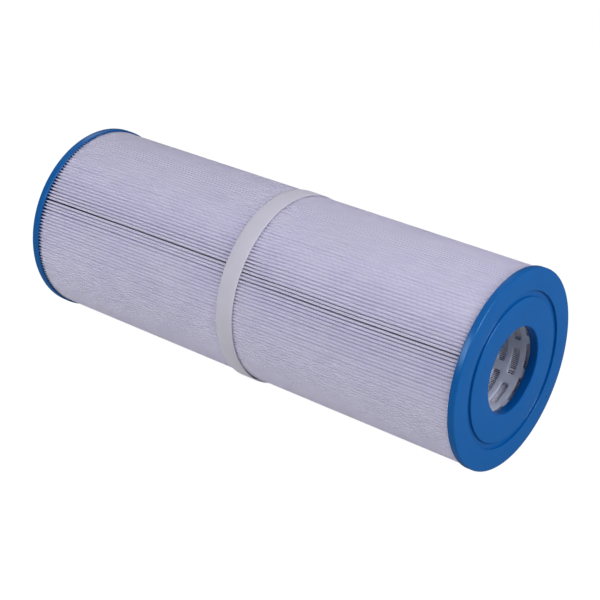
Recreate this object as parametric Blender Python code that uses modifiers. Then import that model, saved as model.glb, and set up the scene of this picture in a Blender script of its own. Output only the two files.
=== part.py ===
"""A pleated spa filter cartridge, open at both ends: two cast end caps, a perforated core in three
plugged sections, one long folded sheet of filter fabric closed by a glued seam, and a strap round its
middle. It lies along X with its centre at the origin. Lengths are in metres."""

import math

import bmesh
import bpy

# Driving dimensions of the whole cartridge
LENGTH = 0.3381
CAP_RADIUS = 0.0627
BORE_RADIUS = 0.0270
GAP = 0.0003

# End caps, measured inwards from the outer face at LENGTH / 2
RIM_THICKNESS = 0.0047
RIM_ROUNDING = 0.0009
BORE_CHAMFER = 0.0006
GROOVE_RADIUS = 0.0470
GROOVE_WIDTH = 0.0028
GROOVE_DEPTH = 0.0015
GROOVE_CHAMFER = 0.0003
POCKET_DEPTH = 0.0025
SLEEVE_DEPTH = 0.0057
SLEEVE_WALL = 0.0007
CAP_STEPS = 48

# Folded sheet
PLEATS = 172
SHEET = 0.00036
PLEAT_RADIUS = 0.0614
FOLD_RADIUS = 0.03055
TIP_WIDTH = 0.0015
FOLD_GAP = 0.00014
SEAM_GAP = 0.0013

# Glued seam, in the widened fold between the sheet's two end legs
SEAM_THICKNESS = 0.0005
SEAM_HEIGHT = 0.013
SEAM_TURN = math.radians(-110)

# Core, a tube of rings and ribs with three rows of facets to each window and rib
CORE_RADIUS = 0.0302
CORE_WALL = 0.00195
CORE_SIDES = 24
CORE_TURN = math.radians(34)
WINDOW_ROWS = 38
WINDOW_PITCH = 0.0088
WINDOW_WIDTH = 0.0047
SECTION_ROWS = (13, 12, 13)
PLUG_LENGTH = 0.0028
PLUG_WALL = 0.0007

# Strap
STRAP_WIDTH = 0.0127
STRAP_THICKNESS = 0.0005
STRAP_OVERLAP = math.radians(16)
STRAP_RAMP = math.radians(24)
STRAP_TURN = math.radians(-38)
STRAP_STEPS = 72

POCKET_FLOOR = LENGTH / 2 - POCKET_DEPTH
PACK_HALF = POCKET_FLOOR - GAP
FLAT = math.cos(math.pi / CORE_SIDES)


def polar(radius, angle):
    return (radius * math.cos(angle), radius * math.sin(angle))


def make_material(name, colour, roughness):
    material = bpy.data.materials.new(name)
    material.use_nodes = True
    shader = material.node_tree.nodes["Principled BSDF"]
    shader.inputs["Base Color"].default_value = (*colour, 1.0)
    shader.inputs["Roughness"].default_value = roughness
    shader.inputs["Metallic"].default_value = 0.0
    return material


def add_object(name, data, material, collection, parent):
    """Links data as an object that stands along its parent's Z axis."""
    obj = bpy.data.objects.new(name, data)
    if material is not None:
        data.materials.append(material)
    collection.objects.link(obj)
    obj.parent = parent
    return obj


def cap_profile():
    """Half section of an end cap as (radius, height) points: out across the face, down the rim, back
    along the inside and up the bore."""
    face = LENGTH / 2
    inner_face = face - RIM_THICKNESS
    groove_in = GROOVE_RADIUS - GROOVE_WIDTH / 2
    groove_out = GROOVE_RADIUS + GROOVE_WIDTH / 2
    groove_floor = face - GROOVE_DEPTH
    lip = PLEAT_RADIUS + GAP
    sleeve = BORE_RADIUS + SLEEVE_WALL
    rounding = [
        (
            CAP_RADIUS - RIM_ROUNDING * (1 - math.sin(turn)),
            face - RIM_ROUNDING * (1 - math.cos(turn)),
        )
        for turn in (0, math.pi / 4, math.pi / 2)
    ]
    return [
        (BORE_RADIUS + BORE_CHAMFER, face),
        (groove_in - GROOVE_CHAMFER, face),
        (groove_in, face - GROOVE_CHAMFER),
        (groove_in, groove_floor),
        (groove_out, groove_floor),
        (groove_out, face - GROOVE_CHAMFER),
        (groove_out + GROOVE_CHAMFER, face),
        *rounding,
        (CAP_RADIUS, inner_face + RIM_ROUNDING / 2),
        (CAP_RADIUS - RIM_ROUNDING / 2, inner_face),
        (lip, inner_face),
        (lip, POCKET_FLOOR),
        (sleeve, POCKET_FLOOR),
        (sleeve, face - SLEEVE_DEPTH),
        (BORE_RADIUS, face - SLEEVE_DEPTH),
        (BORE_RADIUS, face - BORE_CHAMFER),
    ]


def turned_mesh(name, profile):
    """A closed loop of edges in the XZ plane, for a Screw modifier to turn about Z."""
    mesh = bpy.data.meshes.new(name)
    corners = [(radius, 0.0, height) for radius, height in profile]
    count = len(corners)
    mesh.from_pydata(corners, [(i, (i + 1) % count) for i in range(count)], [])
    return mesh


def add_screw(obj, steps):
    screw = obj.modifiers.new("Turn", "SCREW")
    screw.axis = "Z"
    screw.angle = 2 * math.pi
    screw.steps = steps
    screw.render_steps = steps
    screw.use_merge_vertices = True
    screw.merge_threshold = 0.00001
    return screw


def build_end_caps(collection, axis):
    """The two caps are one casting used twice, the rear one turned to face the other way."""
    material = make_material("cast_blue", (0.021, 0.119, 0.362), 0.38)
    mesh = turned_mesh("end_cap", cap_profile())
    mesh.materials.append(material)
    for name, turn in (("front_end_cap", 0.0), ("rear_end_cap", math.pi)):
        cap = add_object(name, mesh, None, collection, axis)
        cap.rotation_euler = (turn, 0.0, 0.0)
        add_screw(cap, CAP_STEPS)


def fold_angle(k):
    """Where inner fold k lies; the seam takes the place of folds 0 and PLEATS."""
    margin = (SEAM_GAP - FOLD_GAP) / 2 / FOLD_RADIUS
    return margin + k * (2 * math.pi - 2 * margin) / PLEATS


def tip_angle(k):
    return (k + 0.5) * 2 * math.pi / PLEATS


def pleat_outline():
    """The folded sheet's cross-section as one loop: its outer side from the seam all the way round,
    then its inner side back again."""
    outer, inner = [], []
    valley = FOLD_RADIUS + SHEET
    crown = PLEAT_RADIUS - SHEET
    leg_in = FOLD_GAP / 2
    leg_out = FOLD_GAP / 2 + SHEET
    for k in range(PLEATS):
        first = FOLD_RADIUS if k == 0 else valley
        last = FOLD_RADIUS if k == PLEATS - 1 else valley
        half_tip = TIP_WIDTH / 2
        outer += [
            polar(first, fold_angle(k) + leg_in / first),
            polar(PLEAT_RADIUS, tip_angle(k) - half_tip / PLEAT_RADIUS),
            polar(PLEAT_RADIUS, tip_angle(k) + half_tip / PLEAT_RADIUS),
            polar(last, fold_angle(k + 1) - leg_in / last),
        ]
        inner += [
            polar(FOLD_RADIUS, fold_angle(k) + leg_out / FOLD_RADIUS),
            polar(crown, tip_angle(k) - (half_tip - SHEET) / crown),
            polar(crown, tip_angle(k) + (half_tip - SHEET) / crown),
            polar(FOLD_RADIUS, fold_angle(k + 1) - leg_out / FOLD_RADIUS),
        ]
    return outer + inner[::-1]


def outline_curve(name, points, half_length):
    """A filled flat outline, extruded by half_length to each side of its plane."""
    curve = bpy.data.curves.new(name, "CURVE")
    curve.dimensions = "2D"
    curve.fill_mode = "BOTH"
    curve.extrude = half_length
    spline = curve.splines.new("POLY")
    spline.points.add(len(points) - 1)
    for point, (x, y) in zip(spline.points, points):
        point.co = (x, y, 0.0, 1.0)
    spline.use_cyclic_u = True
    return curve


def build_media(collection, axis):
    fabric = make_material("filter_fabric", (0.68, 0.67, 0.78), 0.9)
    curve = outline_curve("pleated_media", pleat_outline(), PACK_HALF)
    media = add_object("pleated_media", curve, fabric, collection, axis)
    media.rotation_euler = (0.0, 0.0, SEAM_TURN)

    glue = make_material("seam_adhesive", (0.75, 0.72, 0.62), 0.5)
    bpy.ops.mesh.primitive_cube_add(size=1.0)
    strip = bpy.context.object
    strip.name = strip.data.name = "media_seam_strip"
    for owner in strip.users_collection:
        owner.objects.unlink(strip)
    collection.objects.link(strip)
    strip.data.materials.append(glue)
    strip.parent = axis
    strip.scale = (SEAM_HEIGHT, SEAM_THICKNESS, 2 * (PACK_HALF - GAP))
    strip.location = (*polar(FOLD_RADIUS + SEAM_HEIGHT / 2, SEAM_TURN), 0.0)
    strip.rotation_euler = (0.0, 0.0, SEAM_TURN)


def core_levels(first_row, rows, start, end):
    """Heights of every ring edge in a section that runs from start to end."""
    levels = [start]
    for row in range(first_row, first_row + rows):
        centre = (row + 0.5 - WINDOW_ROWS / 2) * WINDOW_PITCH
        levels += [centre - WINDOW_WIDTH / 2, centre + WINDOW_WIDTH / 2]
    return levels + [end]


def core_sheet(name, levels, first_row):
    """The outer surface of a core section, with its windows left out. A window takes two facets and
    a rib one, and the ribs step round by one facet from each row to the next."""
    bm = bmesh.new()
    bands = len(levels) - 1
    bmesh.ops.create_grid(bm, x_segments=CORE_SIDES, y_segments=bands, size=0.5)
    windows = []
    for face in bm.faces:
        middle = face.calc_center_median()
        side = math.floor((middle.x + 0.5) * CORE_SIDES)
        band = math.floor((middle.y + 0.5) * bands)
        row = first_row + band // 2
        if band % 2 == 1 and side % 3 != row % 2:
            windows.append(face)
    bmesh.ops.delete(bm, geom=windows, context="FACES_ONLY")
    for vert in bm.verts:
        level = levels[round((vert.co.y + 0.5) * bands)]
        angle = CORE_TURN + (vert.co.x + 0.5) * 2 * math.pi
        vert.co = (*polar(CORE_RADIUS, angle), level)
    bmesh.ops.remove_doubles(bm, verts=bm.verts, dist=0.00001)
    mesh = bpy.data.meshes.new(name)
    bm.to_mesh(mesh)
    bm.free()
    mesh.shade_smooth()
    mesh.set_sharp_from_angle(angle=math.radians(30))
    return mesh


def ring_cutter(name, inner, outer, low, high, cutters, axis):
    """A ring, or a disc where inner is 0, that trims one end of a core section."""
    bpy.ops.mesh.primitive_cylinder_add(vertices=CORE_SIDES, radius=outer, depth=high - low)
    disc = bpy.context.object
    disc.name = name
    disc.location = (0.0, 0.0, (low + high) / 2)
    disc.rotation_euler = (0.0, 0.0, CORE_TURN)
    holes = [disc]
    if inner > 0:
        bpy.ops.mesh.primitive_cylinder_add(vertices=CORE_SIDES, radius=inner, depth=high - low)
        hole = bpy.context.object
        hole.name = name + "_hole"
        hole.scale = (1.0, 1.0, 2.0)
        hole.location = disc.location
        hole.rotation_euler = disc.rotation_euler
        cut = disc.modifiers.new("Hollow", "BOOLEAN")
        cut.object = hole
        holes.append(hole)
    for obj in holes:
        for owner in obj.users_collection:
            owner.objects.unlink(obj)
        cutters.objects.link(obj)
        obj.parent = axis
        obj.hide_render = True
        obj.display_type = "WIRE"
    return disc


def build_core(collection, cutters, axis):
    """Three sections in line. Each joint is a thin plug on the front section in a rebate inside the
    rear one, and lies within one ring."""
    material = make_material("core_plastic", (0.72, 0.72, 0.74), 0.45)
    core_inner = CORE_RADIUS - CORE_WALL / FLAT
    plug_outer = core_inner + PLUG_WALL / FLAT
    socket_inner = plug_outer + GAP
    half_plug = PLUG_LENGTH / 2
    first_row = 0
    names = ("rear_core_section", "middle_core_section", "front_core_section")
    for index, (name, rows) in enumerate(zip(names, SECTION_ROWS)):
        rear = (first_row - WINDOW_ROWS / 2) * WINDOW_PITCH
        front = rear + rows * WINDOW_PITCH
        start = -PACK_HALF if index == 0 else rear - half_plug
        end = PACK_HALF if index == len(names) - 1 else front + half_plug
        levels = core_levels(first_row, rows, start, end)
        mesh = core_sheet(name, levels, first_row)
        section = add_object(name, mesh, material, collection, axis)
        wall = section.modifiers.new("Wall", "SOLIDIFY")
        wall.thickness = CORE_WALL
        wall.offset = -1.0
        wall.use_even_offset = True
        if index > 0:
            cut = section.modifiers.new("Plug", "BOOLEAN")
            cut.object = ring_cutter(
                name + "_plug_cutter",
                plug_outer,
                2 * CORE_RADIUS,
                start - half_plug,
                rear + half_plug + GAP,
                cutters,
                axis,
            )
        if index < len(names) - 1:
            cut = section.modifiers.new("Socket", "BOOLEAN")
            cut.object = ring_cutter(
                name + "_socket_cutter",
                0.0,
                socket_inner,
                front - half_plug - GAP,
                end + half_plug,
                cutters,
                axis,
            )
        first_row += rows


def strap_outline():
    """One turn of strap and its overlap, where the outer end climbs over the inner one."""
    inner_radius = PLEAT_RADIUS + GAP
    climb = STRAP_THICKNESS + GAP
    total = 2 * math.pi + STRAP_OVERLAP
    spans = round(STRAP_STEPS * total / (2 * math.pi))
    inside, outside = [], []
    for i in range(spans + 1):
        angle = total * i / spans
        along_ramp = (angle - 2 * math.pi + STRAP_RAMP) / STRAP_RAMP
        lift = climb * min(max(along_ramp, 0.0), 1.0)
        inside.append(polar(inner_radius + lift, angle))
        outside.append(polar(inner_radius + lift + STRAP_THICKNESS, angle))
    return outside + inside[::-1]


def build_strap(collection, axis):
    webbing = make_material("strap_fabric", (0.70, 0.68, 0.76), 0.7)
    curve = outline_curve("centre_strap", strap_outline(), STRAP_WIDTH / 2)
    strap = add_object("centre_strap", curve, webbing, collection, axis)
    strap.rotation_euler = (0.0, 0.0, STRAP_TURN)


def main():
    for obj in list(bpy.data.objects):
        bpy.data.objects.remove(obj)
    parts = bpy.data.collections.new("filter_cartridge")
    cutters = bpy.data.collections.new("cutters")
    bpy.context.scene.collection.children.link(parts)
    bpy.context.scene.collection.children.link(cutters)
    axis = bpy.data.objects.new("cartridge_axis", None)
    axis.rotation_euler = (0.0, math.pi / 2, 0.0)
    parts.objects.link(axis)

    build_end_caps(parts, axis)
    build_media(parts, axis)
    build_core(parts, cutters, axis)
    build_strap(parts, axis)


main()
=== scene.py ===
"""The looks of a pleated spa filter cartridge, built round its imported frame: rounded cast end caps, a
folded fabric sheet with pinched pleats, a moulded lattice core and a fabric strap. Lengths are in
metres, X runs along the cartridge, and an angle round it counts from the front (-Y) over the top (+Z)."""

import math

import bmesh
import bpy
import numpy as np
from mathutils import Matrix, Vector


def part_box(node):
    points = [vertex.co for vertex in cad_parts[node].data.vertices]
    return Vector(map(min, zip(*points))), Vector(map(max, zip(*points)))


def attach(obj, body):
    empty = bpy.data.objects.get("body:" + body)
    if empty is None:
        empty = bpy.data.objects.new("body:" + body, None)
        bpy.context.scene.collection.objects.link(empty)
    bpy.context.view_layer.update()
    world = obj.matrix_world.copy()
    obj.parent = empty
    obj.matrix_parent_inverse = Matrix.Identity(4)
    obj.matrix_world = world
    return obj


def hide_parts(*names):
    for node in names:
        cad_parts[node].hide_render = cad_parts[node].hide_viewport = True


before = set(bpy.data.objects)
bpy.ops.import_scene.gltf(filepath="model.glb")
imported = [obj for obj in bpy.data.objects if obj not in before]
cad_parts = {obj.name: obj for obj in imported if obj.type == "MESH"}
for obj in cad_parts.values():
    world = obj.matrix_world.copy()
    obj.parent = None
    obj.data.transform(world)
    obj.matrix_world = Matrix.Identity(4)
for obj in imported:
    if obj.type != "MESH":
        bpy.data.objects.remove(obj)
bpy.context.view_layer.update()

MM = 0.001

# The cartridge, from its frame. A box is its low corner and its high corner.
CAP_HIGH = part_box("front_end_cap")[1]
MEDIA_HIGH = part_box("pleated_media")[1]
CORE_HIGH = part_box("front_core_section")[1]
STRAP_LOW, STRAP_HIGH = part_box("centre_strap")
SEAM_LOW, SEAM_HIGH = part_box("media_seam_strip")
FACE = CAP_HIGH.x
CAP_RADIUS = CAP_HIGH.z
PACK_HALF = MEDIA_HIGH.x
PLEAT_RADIUS = MEDIA_HIGH.z
CORE_RADIUS = CORE_HIGH.z
STRAP_RADIUS = STRAP_HIGH.z

# End caps. A depth is counted from the outer face.
BORE_RADIUS = 27.0 * MM
GROOVE_RADIUS = 47.0 * MM
GROOVE_WIDTH = 3.8 * MM
GROOVE_DEPTH = 1.8 * MM
FRONT_RIM_DEPTH = 4.5 * MM
REAR_RIM_DEPTH = 5.4 * MM
POTTING_DEPTH = 4.6 * MM
SLEEVE_DEPTH = 5.7 * MM
LIP_GAP = 0.45 * MM
LIP_STEP = 1.0 * MM
POTTING_EDGE = 0.6 * MM
POTTING_FOOT = 1.0 * MM
SLEEVE_GAP = 0.05 * MM
SLEEVE_RAGGED = 0.22 * MM
CAP_STEPS = 240

# Pleats: the sheet is pressed thinner at its roots, LEG_SHARES place the points up each leg, and the
# stations along it are counted from its ends and from the strap's edges
PLEATS = 172
SHEET = 0.36 * MM
ROOT_SHEET = 0.2 * MM
FOLD_RADIUS = 30.55 * MM
VALLEY_HALF = 0.1 * MM
CROWN_ROUNDING = 0.45 * MM
CROWN_BULGE = 0.15 * MM
LEG_SHARES = (0.35, 0.75, 0.93)
SEAM_MARGIN = math.radians(0.6)
MOST_ROUNDING = 0.9
MOST_SHEET = 0.85
TIP_RAGGED = 0.05 * MM
TIP_STRAY = math.radians(0.06)
PLEAT_SEED = 7
STATIONS_FROM_CAP = np.array([0, 1.9, 2.7, 3.7, 4.8, 71]) * MM
STATIONS_FROM_STRAP = np.array([28.5, 8.5, 0.5]) * MM

# The gap between pleat tips, in millimetres: its usual width, what pinching adds to it by the caps, by
# the strap and on the front half, and what it loses on the upper side
CAP_PINCH_REACH = 2.9 * MM
STRAP_PINCH_REACH = 14 * MM
MOUTH = 0.62
MOUTH_BY_REAR_CAP = 1.15
MOUTH_BY_FRONT_CAP = 0.5
MOUTH_BY_STRAP = 0.2
MOUTH_FRONT_HALF = 0.04
MOUTH_HIGH_UP = 0.35

# The drift of the tips round the cartridge: twists in degrees a metre, shifts and swings in degrees
REAR_TWIST = 7.0
REAR_SHIFT = 0.1
REAR_SWING = 0.5
FRONT_TWIST = 11.3
FRONT_SHIFT = 0.19
FRONT_SWING = 0.7

# The lean of the tips on the front half, and the one gap that stands open on the rear half
LEAN = math.radians(7.5)
LEAN_DEPTH = 10.0 * MM
OPEN_GAP = math.radians(34.8)
OPEN_GAP_REACH = math.radians(3.0)
OPEN_GAP_TURN = math.radians(0.22)

# Seam strip
BEAD_HALF = 0.22 * MM
BEAD_HEIGHT = 12.0 * MM
BEAD_ROUNDING = 0.2 * MM
BEAD_ABOVE_FOLDS = 0.4 * MM
BEAD_SWELL = 0.12
BEAD_SWELL_TURNS = 140
BEAD_WAVE = 0.25 * MM
BEAD_WAVE_TURNS = 210

# Core
ROWS = 38
ROW_PITCH = 8.8 * MM
WINDOWS_ROUND = 8
WINDOW_HALF = math.radians(16.5)
WINDOW_HEIGHT = 4.7 * MM
WINDOW_ROUNDING = 1.5 * MM
RIB_ANGLE = math.radians(33.5)
RIB_STAGGER = math.radians(12.0)
CORE_WALL = 1.95 * MM
CORE_EDGE = 0.5 * MM
SECTION_GAP = 0.12 * MM
LONG_SIDE_STEPS = 15
SHORT_SIDE_STEPS = 5
CORNER_STEPS = 2

# Strap
STRAP_START = math.radians(-52)
STRAP_OVERLAP = math.radians(16)
STRAP_RAMP = math.radians(24)
STRAP_CLIMB = 0.75 * MM
STRAP_CLEARANCE = 0.3 * MM
STRAP_PROUD = 0.2 * MM
STRAP_ROUNDING = 0.18 * MM
STRAP_PRESSED = 0.02 * MM
STRAP_WANDER = 0.12 * MM
STRAP_WAVER = 0.08 * MM

# Camera
CAMERA_AZIMUTH = math.radians(38.49)
CAMERA_ELEVATION = math.radians(28.23)
CAMERA_ROLL = math.radians(0.04)
CAMERA_DISTANCE = 1.018
CAMERA_SHIFT = (8.05 * MM, -8.74 * MM)
CAMERA_LENS = 95.5

# Lamps: name, direction, distance, width, height and power in watts
STUDIO_TINT = (0.915, 0.9, 1.0)
SOFTBOXES = (
    ("front_softbox", (-0.25, -0.78, 0.56), 1.4, 0.7, 0.6, 9.0),
    ("overhead_softbox", (-0.34, 0.2, 0.92), 1.6, 2.0, 2.0, 3.65),
    ("back_softbox", (-0.6, 0.57, 0.53), 1.4, 0.6, 0.5, 1.25),
    ("end_softbox", (0.79, -0.08, 0.61), 1.1, 0.45, 0.2, 4.0),
    ("side_softbox", (0.95, 0.1, 0.3), 1.4, 0.35, 0.3, 6.5),
)

# Colours, as linear values, with the darker of each pair first
CAST_BLUES = ((0.002, 0.1, 0.33), (0.003, 0.118, 0.385))
# The wall of the hole: the cast blue darkened as painted shade.
BORE_SHADE_BLUE = (0.001, 0.084, 0.32)
PLEAT_WHITES = ((0.94, 0.935, 0.985), (0.975, 0.97, 1.0))
STRAP_WHITES = ((0.73, 0.72, 0.78), (0.79, 0.78, 0.83))
# Painted shade for the deep slits between the pleats and for the fold sides seen from the core
FOLD_PAINTED_SHADE = (0.1, 0.1, 0.13)
CORE_WHITES = ((0.67, 0.72, 0.81), (0.75, 0.79, 0.88))
MELT_CREAMS = ((0.72, 0.66, 0.5), (0.84, 0.8, 0.66))

# Depths below the pleat tips: below the first, away from the core, the fabric takes its painted shade and
# lets the least light through; above the second it shows its full colour; above the third it lets the most
# light through
DEEP_SLIT_DEPTH = 14 * MM
OPEN_DEPTH = 8 * MM
THROUGH_DEPTH = 6 * MM


def around(x, angle, radius):
    """Points at a place along the cartridge, an angle round it and a radius."""
    x, angle, radius = np.broadcast_arrays(x, angle, radius)
    return np.stack([x, -radius * np.cos(angle), radius * np.sin(angle)], axis=-1)


def smooth(value, low, high):
    """0 below low and 1 above high, with an eased step between them."""
    share = np.clip((value - low) / (high - low), 0.0, 1.0)
    return share * share * (3 - 2 * share)


def add_piece(name, mesh, node, material):
    """Puts a finished mesh on the cartridge in place of a CAD node."""
    mesh.materials.append(material)
    mesh.shade_smooth()
    piece = bpy.data.objects.new(name, mesh)
    bpy.context.scene.collection.objects.link(piece)
    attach(piece, "root")
    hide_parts(node)
    return piece


def loft(name, loops, closed):
    """A solid skinned over loops of points. Closed loops join round in a ring; otherwise each end is
    filled by quads that pair the first half of its loop with the second half."""
    rows, columns = loops.shape[:2]
    index = np.arange(rows * columns).reshape(rows, columns)
    ahead = np.roll(index, -1, axis=1)
    start, end = index, np.roll(index, -1, axis=0)
    start_ahead, end_ahead = ahead, np.roll(ahead, -1, axis=0)
    quads = np.stack([start, start_ahead, end_ahead, end], axis=-1)
    if closed:
        faces = quads.reshape(-1, 4)
    else:
        half = columns // 2
        near = np.arange(half - 1)
        far = columns - 1 - near
        ends = [
            np.stack([row[near], row[far], row[far - 1], row[near + 1]], axis=-1)
            for row in (index[0], index[-1])
        ]
        faces = np.concatenate([quads[:-1].reshape(-1, 4), *ends])
    mesh = bpy.data.meshes.new(name)
    mesh.from_pydata(loops.reshape(-1, 3).tolist(), [], faces.tolist())
    face_outwards(mesh)
    return mesh


def face_outwards(mesh):
    """Turns every face of a closed mesh outwards."""
    bm = bmesh.new()
    bm.from_mesh(mesh)
    bmesh.ops.recalc_face_normals(bm, faces=bm.faces)
    bm.to_mesh(mesh)
    bm.free()


def rounded_profile(corners, steps=5):
    """A closed profile of (x, y, rounding) corners, with an arc in place of each rounded one."""
    points = []
    count = len(corners)
    for i, (x, y, rounding) in enumerate(corners):
        here = np.array([x, y])
        if rounding == 0:
            points.append(here)
            continue
        back = np.array(corners[i - 1][:2]) - here
        ahead = np.array(corners[(i + 1) % count][:2]) - here
        back /= np.linalg.norm(back)
        ahead /= np.linalg.norm(ahead)
        half = math.acos(np.clip(back @ ahead, -1, 1)) / 2
        centre = here + (back + ahead) / np.linalg.norm(back + ahead) * rounding / math.sin(half)
        reach = rounding / math.tan(half)
        first = here + back * reach - centre
        last = here + ahead * reach - centre
        turn = math.pi - 2 * half
        for step in range(steps + 1):
            share = step / steps
            weight_first = math.sin((1 - share) * turn) / math.sin(turn)
            weight_last = math.sin(share * turn) / math.sin(turn)
            points.append(centre + weight_first * first + weight_last * last)
    return np.array(points)


def rounded_box(left, right, low, high, rounding):
    """A closed rectangular profile with rounded corners."""
    corners = [(left, low), (right, low), (right, high), (left, high)]
    return rounded_profile([(*corner, rounding) for corner in corners], steps=3)


# Materials


def new_material(name):
    """A material with a Principled shader, and its node tree's pieces."""
    material = bpy.data.materials.new(name)
    material.use_nodes = True
    tree = material.node_tree
    return material, tree, tree.nodes["Principled BSDF"]


def add_node(tree, kind, settings=None, **inputs):
    """A shader node with its settings, and its inputs' values by name."""
    node = tree.nodes.new(kind)
    for key, value in (settings or {}).items():
        setattr(node, key, value)
    for key, value in inputs.items():
        node.inputs[key.replace("_", " ")].default_value = value
    return node


def place(tree, scale):
    """Object coordinates, stretched by a scale for each axis."""
    coordinates = tree.nodes.new("ShaderNodeTexCoord")
    mapping = tree.nodes.new("ShaderNodeMapping")
    mapping.inputs["Scale"].default_value = scale
    tree.links.new(coordinates.outputs["Object"], mapping.inputs["Vector"])
    return mapping.outputs["Vector"]


def from_axis(tree):
    """How far a point lies from the cartridge's axis."""
    across = add_node(tree, "ShaderNodeVectorMath", {"operation": "LENGTH"})
    tree.links.new(place(tree, (0, 1, 1)), across.inputs[0])
    return across.outputs["Value"]


def noise(tree, vector, scale, detail, distortion=0.0):
    """Clouded noise between 0 and 1, centred on a half."""
    node = add_node(tree, "ShaderNodeTexNoise", Scale=scale, Detail=detail, Distortion=distortion)
    tree.links.new(vector, node.inputs["Vector"])
    return node.outputs["Fac"]


def spread(tree, value, low, high, to_low, to_high):
    """Maps a value's range onto another, and holds it at the ends."""
    node = add_node(tree, "ShaderNodeMapRange")
    tree.links.new(value, node.inputs["Value"])
    for key, number in zip(("From Min", "From Max", "To Min", "To Max"), (low, high, to_low, to_high)):
        node.inputs[key].default_value = number
    return node.outputs["Result"]


def blend_colours(tree, share, first, second):
    """A colour between two, each given as a triple or as a socket."""
    node = tree.nodes.new("ShaderNodeMix")
    node.data_type = "RGBA"
    tree.links.new(share, node.inputs["Factor"])
    for socket, colour in ((node.inputs["A"], first), (node.inputs["B"], second)):
        if isinstance(colour, tuple):
            socket.default_value = (*colour, 1.0)
        else:
            tree.links.new(colour, socket)
    return node.outputs["Result"]


def bump(tree, height, distance, strength):
    """A surface normal shaken by a height."""
    node = add_node(tree, "ShaderNodeBump", Distance=distance, Strength=strength)
    tree.links.new(height, node.inputs["Height"])
    return node.outputs["Normal"]


def cast_blue():
    """Cast polyurethane: a satin skin, finely grained, its colour and gloss a little uneven. The wall
    of the hole is duller, and its colour is darkened there as painted shade."""
    material, tree, shader = new_material("cast_blue")
    vector = place(tree, (1, 1, 1))
    flow = noise(tree, vector, 35, detail=3)
    grain = noise(tree, vector, 1400, detail=2)
    colour = blend_colours(tree, flow, *CAST_BLUES)
    past_bore = spread(tree, from_axis(tree), BORE_RADIUS + 0.1 * MM, BORE_RADIUS + 0.9 * MM, 0, 1)
    # Inside the hole the blue is darkened as painted shade.
    tree.links.new(blend_colours(tree, past_bore, BORE_SHADE_BLUE, colour), shader.inputs["Base Color"])
    tree.links.new(spread(tree, flow, 0, 1, 0.25, 0.34), shader.inputs["Roughness"])
    tree.links.new(spread(tree, past_bore, 0, 1, 0.12, 0.45), shader.inputs["Specular IOR Level"])
    shader.inputs["Specular Tint"].default_value = (0.5, 0.8, 1.0, 1.0)
    tree.links.new(bump(tree, grain, 0.02 * MM, 0.35), shader.inputs["Normal"])
    return material


def mix_through(tree, surface, colour, share, normal=None):
    """Lets light through a surface. The share is a number or a socket."""
    through = tree.nodes.new("ShaderNodeBsdfTranslucent")
    tree.links.new(colour, through.inputs["Color"])
    if normal is not None:
        tree.links.new(normal, through.inputs["Normal"])
    mix = tree.nodes.new("ShaderNodeMixShader")
    if isinstance(share, float):
        mix.inputs["Fac"].default_value = share
    else:
        tree.links.new(share, mix.inputs["Fac"])
    tree.links.new(surface, mix.inputs[1])
    tree.links.new(through.outputs["BSDF"], mix.inputs[2])
    tree.links.new(mix.outputs["Shader"], tree.nodes["Material Output"].inputs["Surface"])


def fibre_mix(tree, fibres, cloud):
    """Fibres and a soft cloud, added into one share."""
    mixed = add_node(tree, "ShaderNodeMath", {"operation": "ADD"})
    tree.links.new(spread(tree, fibres, 0.35, 0.65, 0, 0.6), mixed.inputs[0])
    tree.links.new(spread(tree, cloud, 0.35, 0.65, 0, 0.4), mixed.inputs[1])
    return mixed.outputs["Value"]


def reached_by_light(tree, radius):
    """1 at the open side of the folds and right against the core, 0 deep in the slits, where shade is
    painted.
    """
    open_side = spread(tree, radius, PLEAT_RADIUS - DEEP_SLIT_DEPTH, PLEAT_RADIUS - OPEN_DEPTH, 0, 1)
    core_side = spread(tree, radius, CORE_RADIUS + 0.9 * MM, CORE_RADIUS + 1.9 * MM, 1, 0)
    reached = add_node(tree, "ShaderNodeMath", {"operation": "MAXIMUM"})
    tree.links.new(open_side, reached.inputs[0])
    tree.links.new(core_side, reached.inputs[1])
    return reached.outputs["Value"]


def fabric(name, shades, see_through, fibre_scale):
    """Spunbond fabric: tangled fibres between a dark and a light tone, matt, with light coming through
    except deep in the folds towards the core. Deep in the slits, and on the fold sides seen from the core,
    its colour is darkened as painted shade."""
    material, tree, shader = new_material(name)
    vector = place(tree, (1, 1, 1))
    fibres = noise(tree, vector, fibre_scale, detail=6, distortion=2.5)
    cloud = noise(tree, vector, 60, detail=3)
    radius = from_axis(tree)
    surface = blend_colours(tree, fibre_mix(tree, fibres, cloud), *shades)
    # Deep in the slits and on the fold sides seen from the core, the colour turns to painted shade.
    colour = blend_colours(tree, reached_by_light(tree, radius), FOLD_PAINTED_SHADE, surface)
    tree.links.new(colour, shader.inputs["Base Color"])
    shader.inputs["Roughness"].default_value = 0.85
    shader.inputs["Specular IOR Level"].default_value = 0.25
    shader.inputs["Sheen Weight"].default_value = 0.15
    relief = bump(tree, fibres, 0.06 * MM, 0.4)
    tree.links.new(relief, shader.inputs["Normal"])
    deep_in_slits, open_enough = PLEAT_RADIUS - DEEP_SLIT_DEPTH, PLEAT_RADIUS - THROUGH_DEPTH
    share = spread(tree, radius, deep_in_slits, open_enough, 0.05, see_through)
    mix_through(tree, shader.outputs["BSDF"], colour, share, relief)
    return material


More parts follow.
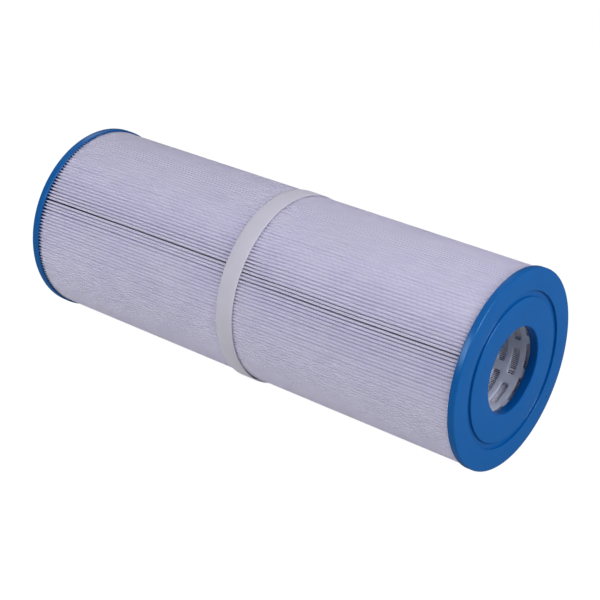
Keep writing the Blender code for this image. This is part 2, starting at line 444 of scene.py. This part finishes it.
def moulded_white():
    """Moulded white plastic with a soft sheen, which lets some light through."""
    material, tree, shader = new_material("moulded_white")
    vector = place(tree, (1, 1, 1))
    flow = noise(tree, vector, 90, detail=3)
    grain = noise(tree, vector, 900, detail=3)
    share = spread(tree, flow, 0.3, 0.7, 0, 1)
    colour = blend_colours(tree, share, *CORE_WHITES)
    tree.links.new(colour, shader.inputs["Base Color"])
    tree.links.new(spread(tree, grain, 0.3, 0.7, 0.38, 0.5), shader.inputs["Roughness"])
    tree.links.new(bump(tree, grain, 0.05 * MM, 0.3), shader.inputs["Normal"])
    mix_through(tree, shader.outputs["BSDF"], colour, 0.3)
    return material


def hot_melt():
    """Hot-melt adhesive: cream, waxy and uneven."""
    material, tree, shader = new_material("hot_melt")
    vector = place(tree, (1, 1, 1))
    flow = noise(tree, vector, 250, detail=4)
    colour = blend_colours(tree, flow, *MELT_CREAMS)
    tree.links.new(colour, shader.inputs["Base Color"])
    shader.inputs["Roughness"].default_value = 0.35
    tree.links.new(bump(tree, flow, 0.3 * MM, 0.4), shader.inputs["Normal"])
    return material


# End caps


def cap_profile(rim_depth):
    """Half section of a cap as (radius, depth below the face)."""
    groove_in = GROOVE_RADIUS - GROOVE_WIDTH / 2
    groove_out = GROOVE_RADIUS + GROOVE_WIDTH / 2
    lip = PLEAT_RADIUS + LIP_GAP
    recess = rim_depth - LIP_STEP
    core_bore = CORE_RADIUS - CORE_WALL + SLEEVE_GAP
    return rounded_profile(
        [
            (BORE_RADIUS, 0, 0.7 * MM),
            (groove_in, 0, 0.75 * MM),
            (groove_in, GROOVE_DEPTH, 0.5 * MM),
            (groove_out, GROOVE_DEPTH, 0.5 * MM),
            (groove_out, 0, 0.35 * MM),
            (CAP_RADIUS, 0, 0.9 * MM),
            (CAP_RADIUS, rim_depth, 0.45 * MM),
            (lip, rim_depth, 0.2 * MM),
            (lip, recess, 0.2 * MM),
            (PLEAT_RADIUS - POTTING_EDGE, recess, 0.2 * MM),
            (PLEAT_RADIUS - POTTING_FOOT, POTTING_DEPTH, 0.2 * MM),
            (core_bore, POTTING_DEPTH, 0),
            (core_bore, SLEEVE_DEPTH, 0.3 * MM),
            (BORE_RADIUS, SLEEVE_DEPTH, 0.45 * MM),
        ]
    )


def build_cap(node, side, rim_depth, material):
    """A cap turned from its profile, its sleeve ending unevenly inside the core."""
    profile = cap_profile(rim_depth)
    angle = np.linspace(0, 2 * math.pi, CAP_STEPS, endpoint=False)[:, None]
    depth = profile[None, :, 1]
    radius = profile[None, :, 0]
    sleeve_end = smooth(depth, POTTING_DEPTH + 0.2 * MM, SLEEVE_DEPTH) * (radius < CORE_RADIUS)
    waves = np.sin(5 * angle + side) + 0.6 * np.sin(11 * angle) + 0.4 * np.sin(23 * angle)
    ragged = SLEEVE_RAGGED * waves
    x = side * (FACE - depth - ragged * sleeve_end)
    mesh = loft(node + "_cast", around(x, angle, radius), closed=True)
    return add_piece(node + "_cast", mesh, node, material)


# Folded sheet


def seam_angle():
    """The angle of the glued seam, from the strip's box."""
    middle = (SEAM_LOW + SEAM_HIGH) / 2
    return math.atan2(middle.z, -middle.y)


def pleat_stations():
    """Places along the sheet, closer together where its pleats change shape."""
    half = np.concatenate([PACK_HALF - STATIONS_FROM_CAP, STRAP_HIGH.x + STATIONS_FROM_STRAP])
    return np.concatenate([-half, half[::-1]])


def mouth_width(x, angle):
    """The gap between neighbouring pleat tips, wide where the caps and the strap pinch the tips."""
    along = np.abs(x)
    rim_edge = FACE - np.where(x < 0, REAR_RIM_DEPTH, FRONT_RIM_DEPTH)
    at_cap = smooth(along, rim_edge - CAP_PINCH_REACH, rim_edge)
    pinch = np.where(x < 0, MOUTH_BY_REAR_CAP, MOUTH_BY_FRONT_CAP) * at_cap
    at_strap = 1 - smooth(along, STRAP_HIGH.x, STRAP_HIGH.x + STRAP_PINCH_REACH)
    front_half = smooth(x, 8 * MM, 40 * MM)
    low_side = 1 - smooth(angle, math.radians(10), math.radians(60))
    high_side = smooth(angle, math.radians(42), math.radians(75))
    low_front = MOUTH_FRONT_HALF * front_half * (1 + low_side)
    spread_out = pinch + MOUTH_BY_STRAP * at_strap + low_front - MOUTH_HIGH_UP * high_side
    return (MOUTH + spread_out) * MM


def tip_drift(x):
    """How far the pleat tips wander round the cartridge along its length."""
    rear = REAR_TWIST * x - REAR_SHIFT - REAR_SWING * smooth(-x, 100 * MM, 165 * MM)
    past_strap = smooth(x, 6 * MM, 20 * MM)
    near_cap = smooth(x, 100 * MM, 170 * MM)
    front = FRONT_TWIST * x - FRONT_SHIFT * past_strap + FRONT_SWING * near_cap
    return np.radians(np.where(x < 0, rear, front))


def stand_apart(x, tip):
    """How far round each tip is pushed by the one gap that stands open along the rear half."""
    away = tip - OPEN_GAP
    pushed = np.sign(away) * np.exp(-((away / OPEN_GAP_REACH) ** 2))
    return OPEN_GAP_TURN * pushed * smooth(-x, STRAP_HIGH.x - 6 * MM, STRAP_HIGH.x)


def lean_slope(x):
    """The slope of the last stretch of each pleat, which leans over on the front half."""
    return math.tan(LEAN) * smooth(x, 8 * MM, 36 * MM)


class Folds:
    """Where every pleat's tip and folds lie at every station along the sheet, and how wide its tip is.
    Its arrays run over (station, pleat, point of the pleat's outline)."""

    def __init__(self):
        rng = np.random.default_rng(PLEAT_SEED)
        self.x = pleat_stations()[:, None, None]
        seam = seam_angle()
        pleat = np.arange(PLEATS)[None, :, None]
        pitch = 2 * math.pi / PLEATS
        self.tip = seam + (pleat + 0.5) * pitch
        fold_step = (2 * math.pi - 2 * SEAM_MARGIN) / PLEATS
        self.fold_before = seam + SEAM_MARGIN + pleat * fold_step
        self.fold_after = self.fold_before + fold_step
        facing = np.arctan2(np.sin(self.tip), np.cos(self.tip))
        ragged = rng.normal(0, TIP_RAGGED, (1, PLEATS, 1))
        stray = rng.normal(0, TIP_STRAY, (1, PLEATS, 1)) + stand_apart(self.x, facing)
        self.half_tip = (pitch * PLEAT_RADIUS - mouth_width(self.x, facing) + ragged) / 2
        self.rounding = np.minimum(CROWN_ROUNDING, MOST_ROUNDING * self.half_tip)
        self.sheet = np.minimum(SHEET, MOST_SHEET * self.half_tip)
        self.tip_angle = self.tip + stray + tip_drift(self.x)
        self.valley_angle = self.fold_after + stray + tip_drift(self.x)


def half_skin(folds, inner, fold, side):
    """One side of every pleat, from its root up to its crown: (offset across it, radius)."""
    shares = np.array(LEG_SHARES)
    turns = np.radians([0, 45, 90])
    half_tip, rounding = folds.half_tip, folds.rounding
    inset = folds.sheet if inner else 0 * folds.sheet
    root_radius = FOLD_RADIUS + (0.5 * SHEET if inner else SHEET)
    root_across = side * (fold - folds.tip) * root_radius
    root_offset = np.broadcast_to(root_across + VALLEY_HALF + (ROOT_SHEET if inner else 0), half_tip.shape)
    leg_offset = root_offset + (inset - half_tip - root_offset) * shares
    leg_radius = root_radius + (PLEAT_RADIUS - rounding - root_radius) * shares
    arc = rounding - inset
    arc_offset = rounding - half_tip - arc * np.cos(turns)
    arc_radius = PLEAT_RADIUS - rounding + arc * np.sin(turns)
    root_line = np.full(half_tip.shape, root_radius)
    offset = np.concatenate([root_offset, leg_offset, arc_offset], axis=2)
    radius = np.concatenate([root_line, leg_radius, arc_radius], axis=2)
    return offset, radius


def skin(folds, inner):
    """The sheet's outer side, or its inner side, as angles and radii along every fold."""
    up_offset, up_radius = half_skin(folds, inner, folds.fold_before, 1)
    down_offset, down_radius = half_skin(folds, inner, folds.fold_after, -1)
    crown = PLEAT_RADIUS + CROWN_BULGE - (folds.sheet if inner else 0 * folds.sheet)
    valley = np.full(crown.shape, FOLD_RADIUS + (0 if inner else SHEET))
    offset = np.concatenate([up_offset, 0 * crown, -down_offset[:, :, ::-1]], axis=2)
    radius = np.concatenate([up_radius, crown, down_radius[:, :, ::-1]], axis=2)
    bend = np.clip(radius - (PLEAT_RADIUS - LEAN_DEPTH), 0, None)
    lean = lean_slope(folds.x) * bend**2 / (2 * LEAN_DEPTH) / radius
    angle = folds.tip_angle + offset / radius + lean
    angle = np.concatenate([angle, folds.valley_angle], axis=2)
    radius = np.concatenate([radius, valley], axis=2)
    stations = len(angle)
    return angle.reshape(stations, -1)[:, :-1], radius.reshape(stations, -1)[:, :-1]


def build_media(material):
    """One sheet folded right round, from one side of the seam to the other."""
    folds = Folds()
    outer_angle, outer_radius = skin(folds, False)
    inner_angle, inner_radius = skin(folds, True)
    angle = np.concatenate([outer_angle, inner_angle[:, ::-1]], axis=1)
    radius = np.concatenate([outer_radius, inner_radius[:, ::-1]], axis=1)
    mesh = loft("pleated_sheet", around(folds.x[:, :, 0], angle, radius), closed=False)
    return add_piece("pleated_sheet", mesh, "pleated_media", material)


def build_seam(material):
    """The glued strip between the sheet's two end legs, a slightly uneven bead."""
    steps = 90
    x = np.linspace(SEAM_LOW.x, SEAM_HIGH.x, steps)[:, None]
    inner = FOLD_RADIUS + BEAD_ABOVE_FOLDS
    outer = inner + BEAD_HEIGHT
    section = rounded_box(-BEAD_HALF, BEAD_HALF, inner, outer, BEAD_ROUNDING)
    across = section[None, :, 0] * (1 + BEAD_SWELL * np.sin(x * BEAD_SWELL_TURNS))
    height = section[None, :, 1]
    radius = height + BEAD_WAVE * np.sin(x * BEAD_WAVE_TURNS) * (height > inner + 1 * MM)
    angle = seam_angle() + tip_drift(x) + across / radius
    mesh = loft("seam_bead", around(x, angle, radius), closed=False)
    return add_piece("seam_bead", mesh, "media_seam_strip", material)


# Core


def cell_outlines():
    """The border of one window's cell and the window's rounded outline, point for point, as
    (share of the cell across, share along) and (angle, height) from the middle of the window."""
    corner = math.pi / 4 / CORNER_STEPS
    border, window = [], []
    reach_across = WINDOW_HALF - WINDOW_ROUNDING / CORE_RADIUS
    reach_along = WINDOW_HEIGHT / 2 - WINDOW_ROUNDING
    for side in range(4):
        steps = LONG_SIDE_STEPS if side % 2 == 0 else SHORT_SIDE_STEPS
        for step in range(steps):
            share = 2 * step / steps - 1
            straight = min(max((step - steps / 2) / (steps / 2 - CORNER_STEPS), -1), 1)
            bend = corner * (max(0, step - steps + CORNER_STEPS) - max(0, CORNER_STEPS - step))
            turn = (side - 1) * math.pi / 2 + bend
            along = {0: (share, -1), 1: (1, share), 2: (-share, 1), 3: (-1, -share)}[side]
            centre = {0: (straight, -1), 1: (1, straight), 2: (-straight, 1), 3: (-1, -straight)}[side]
            border.append(along)
            window.append(
                (
                    centre[0] * reach_across + math.cos(turn) * WINDOW_ROUNDING / CORE_RADIUS,
                    centre[1] * reach_along + math.sin(turn) * WINDOW_ROUNDING,
                )
            )
    return border, window


def add_cell(bm, outlines, middle, centre, low, high):
    """One cell of the lattice's outer skin, faced from its border in to the edge of its window. The
    border runs between two levels along the cartridge."""
    cell_half = math.pi / WINDOWS_ROUND
    outline = []
    for (across, along), (angle, height) in zip(*outlines):
        level = (low + high) / 2 + along * (high - low) / 2
        edge = around(level, centre + across * cell_half, CORE_RADIUS)
        inside = around(middle + height, centre + angle, CORE_RADIUS)
        outline.append((bm.verts.new(edge), bm.verts.new(inside)))
    for (edge, inside), (next_edge, next_inside) in zip(outline, outline[1:] + outline[:1]):
        bm.faces.new((edge, next_edge, next_inside, inside))


def thicken(piece):
    """Gives the lattice's outer skin its wall and its rounded edges."""
    wall = piece.modifiers.new("Wall", "SOLIDIFY")
    wall.thickness = CORE_WALL
    wall.offset = -1.0
    edge = piece.modifiers.new("Edges", "BEVEL")
    edge.width = CORE_EDGE
    edge.segments = 3
    edge.limit_method = "ANGLE"
    edge.angle_limit = math.radians(50)


def build_core_section(node, first_row, rows, material):
    """One moulded length of the core: rows of windows, each row staggered from the next."""
    outlines = cell_outlines()
    cell_half = math.pi / WINDOWS_ROUND
    bm = bmesh.new()
    for row in range(first_row, first_row + rows):
        middle = (row + 0.5 - ROWS / 2) * ROW_PITCH
        low = middle - ROW_PITCH / 2 + (SECTION_GAP if row == first_row else 0)
        high = middle + ROW_PITCH / 2 - (SECTION_GAP if row == first_row + rows - 1 else 0)
        low = max(low, -PACK_HALF)
        high = min(high, PACK_HALF)
        turn = RIB_ANGLE + cell_half + (RIB_STAGGER if row % 2 == 0 else 0)
        for cell in range(WINDOWS_ROUND):
            add_cell(bm, outlines, middle, turn + 2 * cell_half * cell, low, high)
    bmesh.ops.remove_doubles(bm, verts=bm.verts, dist=0.01 * MM)
    for face in bm.faces:
        middle = face.calc_center_median()
        if face.normal.dot(Vector((0, middle.y, middle.z))) < 0:
            face.normal_flip()
    mesh = bpy.data.meshes.new(node + "_lattice")
    bm.to_mesh(mesh)
    bm.free()
    piece = add_piece(node + "_lattice", mesh, node, material)
    thicken(piece)
    return piece


def build_core(material):
    """Three lengths of core, meeting at the rows nearest to where the frame's lengths meet."""
    middle_low, middle_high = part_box("middle_core_section")
    front_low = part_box("front_core_section")[0]
    rear_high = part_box("rear_core_section")[1]
    rear_joint = (middle_low.x + rear_high.x) / 2
    front_joint = (middle_high.x + front_low.x) / 2
    rear_rows = round(rear_joint / ROW_PITCH) + ROWS // 2
    front_start = round(front_joint / ROW_PITCH) + ROWS // 2
    build_core_section("rear_core_section", 0, rear_rows, material)
    build_core_section("middle_core_section", rear_rows, front_start - rear_rows, material)
    build_core_section("front_core_section", front_start, ROWS - front_start, material)


# Strap


def build_strap(material):
    """A band wound once round the pleats, its last stretch climbing over its start."""
    steps_round = 4 * PLEATS
    total = 2 * math.pi + STRAP_OVERLAP
    steps = round(steps_round * total / (2 * math.pi))
    turned = np.linspace(0, total, steps + 1)[:, None]
    lift = STRAP_CLIMB * smooth(turned, 2 * math.pi - STRAP_RAMP, 2 * math.pi)
    inner = PLEAT_RADIUS + STRAP_CLEARANCE
    thickness = STRAP_RADIUS + STRAP_PROUD - inner
    half = (STRAP_HIGH.x - STRAP_LOW.x) / 2
    section = rounded_box(-half, half, 0, thickness, STRAP_ROUNDING)
    pressed = STRAP_PRESSED * np.cos(turned * PLEATS)
    radius = inner + section[None, :, 1] + lift + pressed
    wander = STRAP_WANDER * np.sin(3 * turned) + STRAP_WAVER * np.sin(7 * turned + 1)
    x = section[None, :, 0] + wander
    mesh = loft("strap_band", around(x, STRAP_START - turned, radius), closed=False)
    return add_piece("strap_band", mesh, "centre_strap", material)


# Studio


def ray_strength(tree, to_camera, to_gloss, to_matt, share=None):
    """A light strength that the camera, a reflection and a matt surface each see differently. A share
    scales it for all but the camera."""
    path = tree.nodes.new("ShaderNodeLightPath")
    unseen = spread(tree, path.outputs["Is Glossy Ray"], 0, 1, to_matt, to_gloss)
    if share is not None:
        scaled = add_node(tree, "ShaderNodeMath", {"operation": "MULTIPLY"})
        tree.links.new(unseen, scaled.inputs[0])
        tree.links.new(share, scaled.inputs[1])
        unseen = scaled.outputs["Value"]
    total = add_node(tree, "ShaderNodeMapRange")
    tree.links.new(path.outputs["Is Camera Ray"], total.inputs["Value"])
    tree.links.new(unseen, total.inputs["To Min"])
    total.inputs["To Max"].default_value = to_camera
    return total.outputs["Result"]


def dark_side(tree):
    """The share of the room's light from each direction: little from behind the camera."""
    direction = tree.nodes.new("ShaderNodeTexCoord")
    toward = add_node(tree, "ShaderNodeVectorMath", {"operation": "DOT_PRODUCT"})
    tree.links.new(direction.outputs["Generated"], toward.inputs[0])
    toward.inputs[1].default_value = camera_back()
    aside, straight_on = math.cos(math.radians(70)), math.cos(math.radians(25))
    return spread(tree, toward.outputs["Value"], aside, straight_on, 1.0, 0.1)


def build_floor():
    """A plain pale floor that shows almost white, under the lowest point of the caps."""
    bpy.ops.mesh.primitive_plane_add(size=30.0, location=(0, 0, -CAP_RADIUS))
    floor = bpy.context.object
    floor.name = "studio_floor"
    material, tree, shader = new_material("studio_white")
    shader.inputs["Base Color"].default_value = (0.12, 0.12, 0.12, 1.0)
    shader.inputs["Roughness"].default_value = 0.9
    shader.inputs["Specular IOR Level"].default_value = 0.0
    shader.inputs["Emission Color"].default_value = (1.0, 1.0, 1.0, 1.0)
    strength = ray_strength(tree, to_camera=0.95, to_gloss=0.05, to_matt=0.52)
    tree.links.new(strength, shader.inputs["Emission Strength"])
    floor.data.materials.append(material)


def add_softbox(name, direction, distance, width, height, energy):
    """A rectangular lamp that looks at the cartridge from a direction, its width level."""
    light = bpy.data.lights.new(name, "AREA")
    light.shape = "RECTANGLE"
    light.size = width
    light.size_y = height
    light.energy = energy
    light.color = STUDIO_TINT
    lamp = bpy.data.objects.new(name, light)
    bpy.context.scene.collection.objects.link(lamp)
    lamp.location = Vector(direction).normalized() * distance
    aim_at(lamp, Vector((0, 0, 0)))


def build_lights():
    """A pale room, dimmer behind the camera, and the soft lamps."""
    world = bpy.data.worlds.new("studio")
    bpy.context.scene.world = world
    world.use_nodes = True
    tree = world.node_tree
    background = tree.nodes["Background"]
    background.inputs["Color"].default_value = (1.0, 1.0, 1.0, 1.0)
    strength = ray_strength(tree, to_camera=1.0, to_gloss=0.1, to_matt=0.3, share=dark_side(tree))
    tree.links.new(strength, background.inputs["Strength"])
    for softbox in SOFTBOXES:
        add_softbox(*softbox)


def aim_at(obj, target):
    """Turns a lamp to face a point."""
    obj.rotation_euler = (target - obj.location).to_track_quat("-Z", "Y").to_euler()


def camera_back():
    """The direction from the cartridge to the camera."""
    a, e = CAMERA_AZIMUTH, CAMERA_ELEVATION
    return Vector((math.sin(a) * math.cos(e), -math.cos(a) * math.cos(e), math.sin(e)))


def build_camera():
    """The camera looks along a set azimuth and elevation, with the cartridge a little off its centre."""
    back = camera_back()
    level = Vector((math.cos(CAMERA_AZIMUTH), math.sin(CAMERA_AZIMUTH), 0))
    upright = back.cross(level)
    right = level * math.cos(CAMERA_ROLL) + upright * math.sin(CAMERA_ROLL)
    up = upright * math.cos(CAMERA_ROLL) - level * math.sin(CAMERA_ROLL)
    data = bpy.data.cameras.new("camera")
    data.lens = CAMERA_LENS
    data.sensor_width = 36.0
    data.clip_start = 0.01
    data.clip_end = 100.0
    camera = bpy.data.objects.new("camera", data)
    bpy.context.scene.collection.objects.link(camera)
    place_at = right * CAMERA_SHIFT[0] + up * CAMERA_SHIFT[1] + back * CAMERA_DISTANCE
    turn = Matrix((right, up, back)).transposed().to_4x4()
    camera.matrix_world = Matrix.Translation(place_at) @ turn
    bpy.context.scene.camera = camera


def main():
    """Builds the cartridge and then its studio. The light takes many bounces between the pleats."""
    blue = cast_blue()
    build_cap("front_end_cap", 1, FRONT_RIM_DEPTH, blue)
    build_cap("rear_end_cap", -1, REAR_RIM_DEPTH, blue)
    build_media(fabric("pleat_fabric", PLEAT_WHITES, see_through=0.8, fibre_scale=900))
    build_seam(hot_melt())
    build_core(moulded_white())
    build_strap(fabric("strap_fabric", STRAP_WHITES, see_through=0.25, fibre_scale=1500))
    build_floor()
    build_lights()
    build_camera()
    bpy.context.scene.view_settings.view_transform = "Standard"
    bpy.context.scene.cycles.diffuse_bounces = 12
    bpy.context.scene.cycles.transmission_bounces = 24
    bpy.context.scene.cycles.max_bounces = 32


main()
